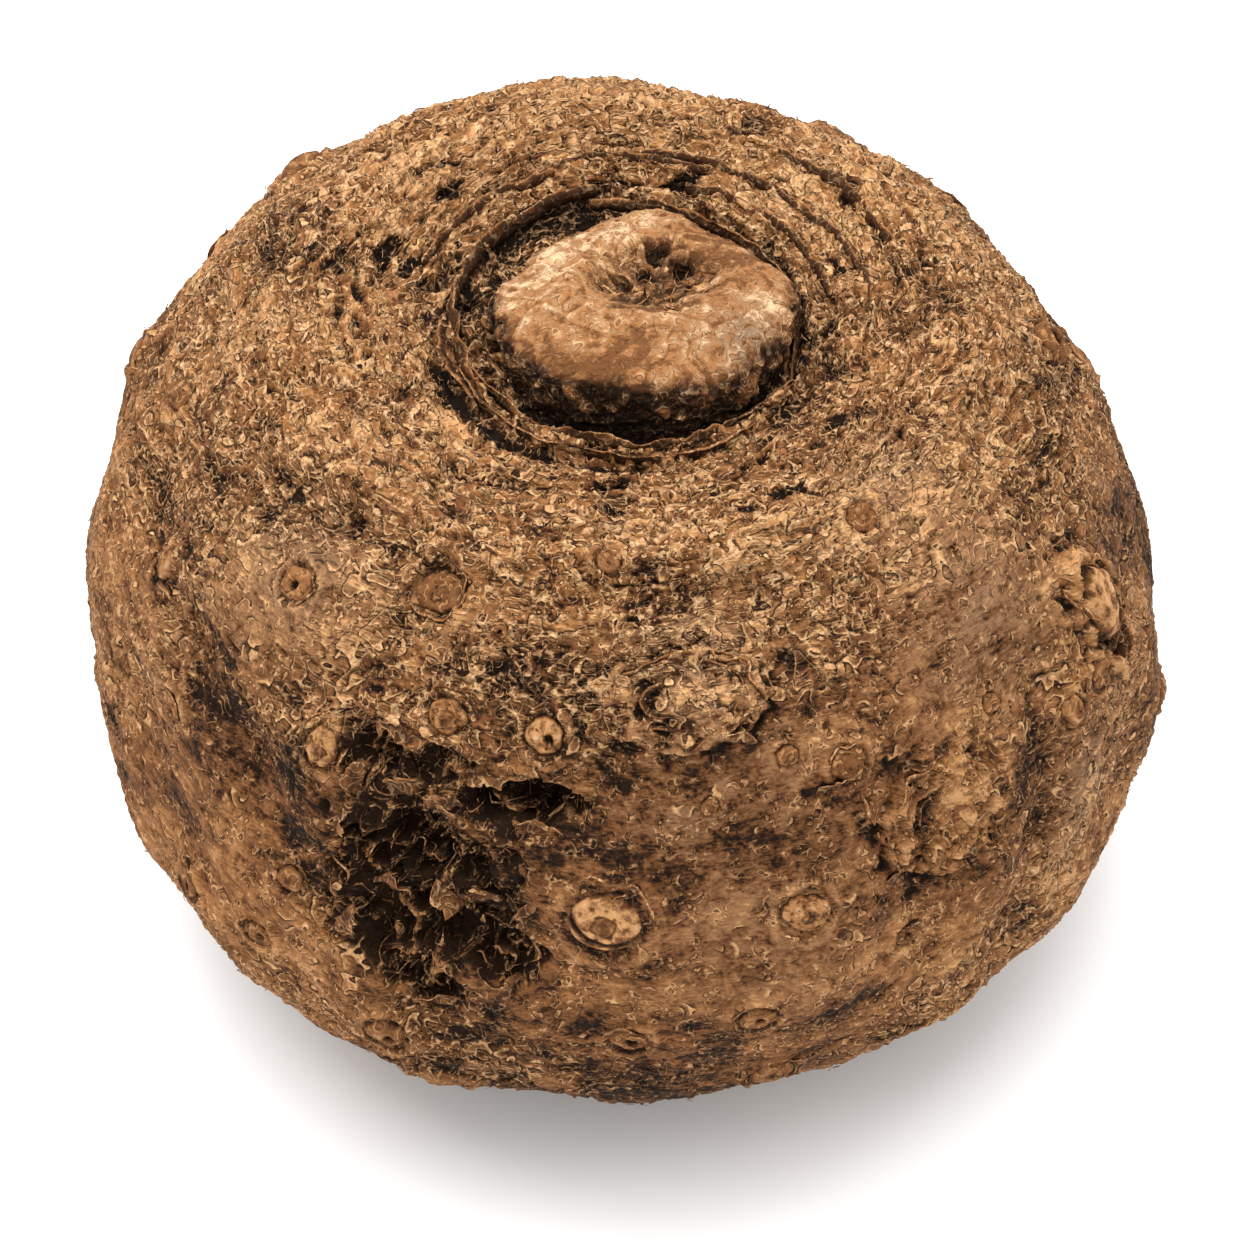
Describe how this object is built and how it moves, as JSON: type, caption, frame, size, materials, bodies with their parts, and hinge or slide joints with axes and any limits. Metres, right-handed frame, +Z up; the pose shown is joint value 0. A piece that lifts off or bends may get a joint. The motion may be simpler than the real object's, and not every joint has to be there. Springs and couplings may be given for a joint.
{
  "type": "elephant foot yam corm",
  "caption": "Squashed round corm with a stalk scar in a sunken crown, growth rings, root scars, buds and a torn hollow in its fibrous bark.",
  "frame": {"origin": "centre of the flat resting spot, under the corm's axis", "axes": "+Z up through the stalk scar, -Y towards the front with the torn hollow, +X to its right"},
  "size_m": [0.2018, 0.2028, 0.1443],
  "materials": {
    "skin": "dry fibrous brown bark, dull and rough, paler on the button and on raised fibres"
  },
  "bodies": {
    "root": {"corm": "skin"}
  },
  "joints": []
}
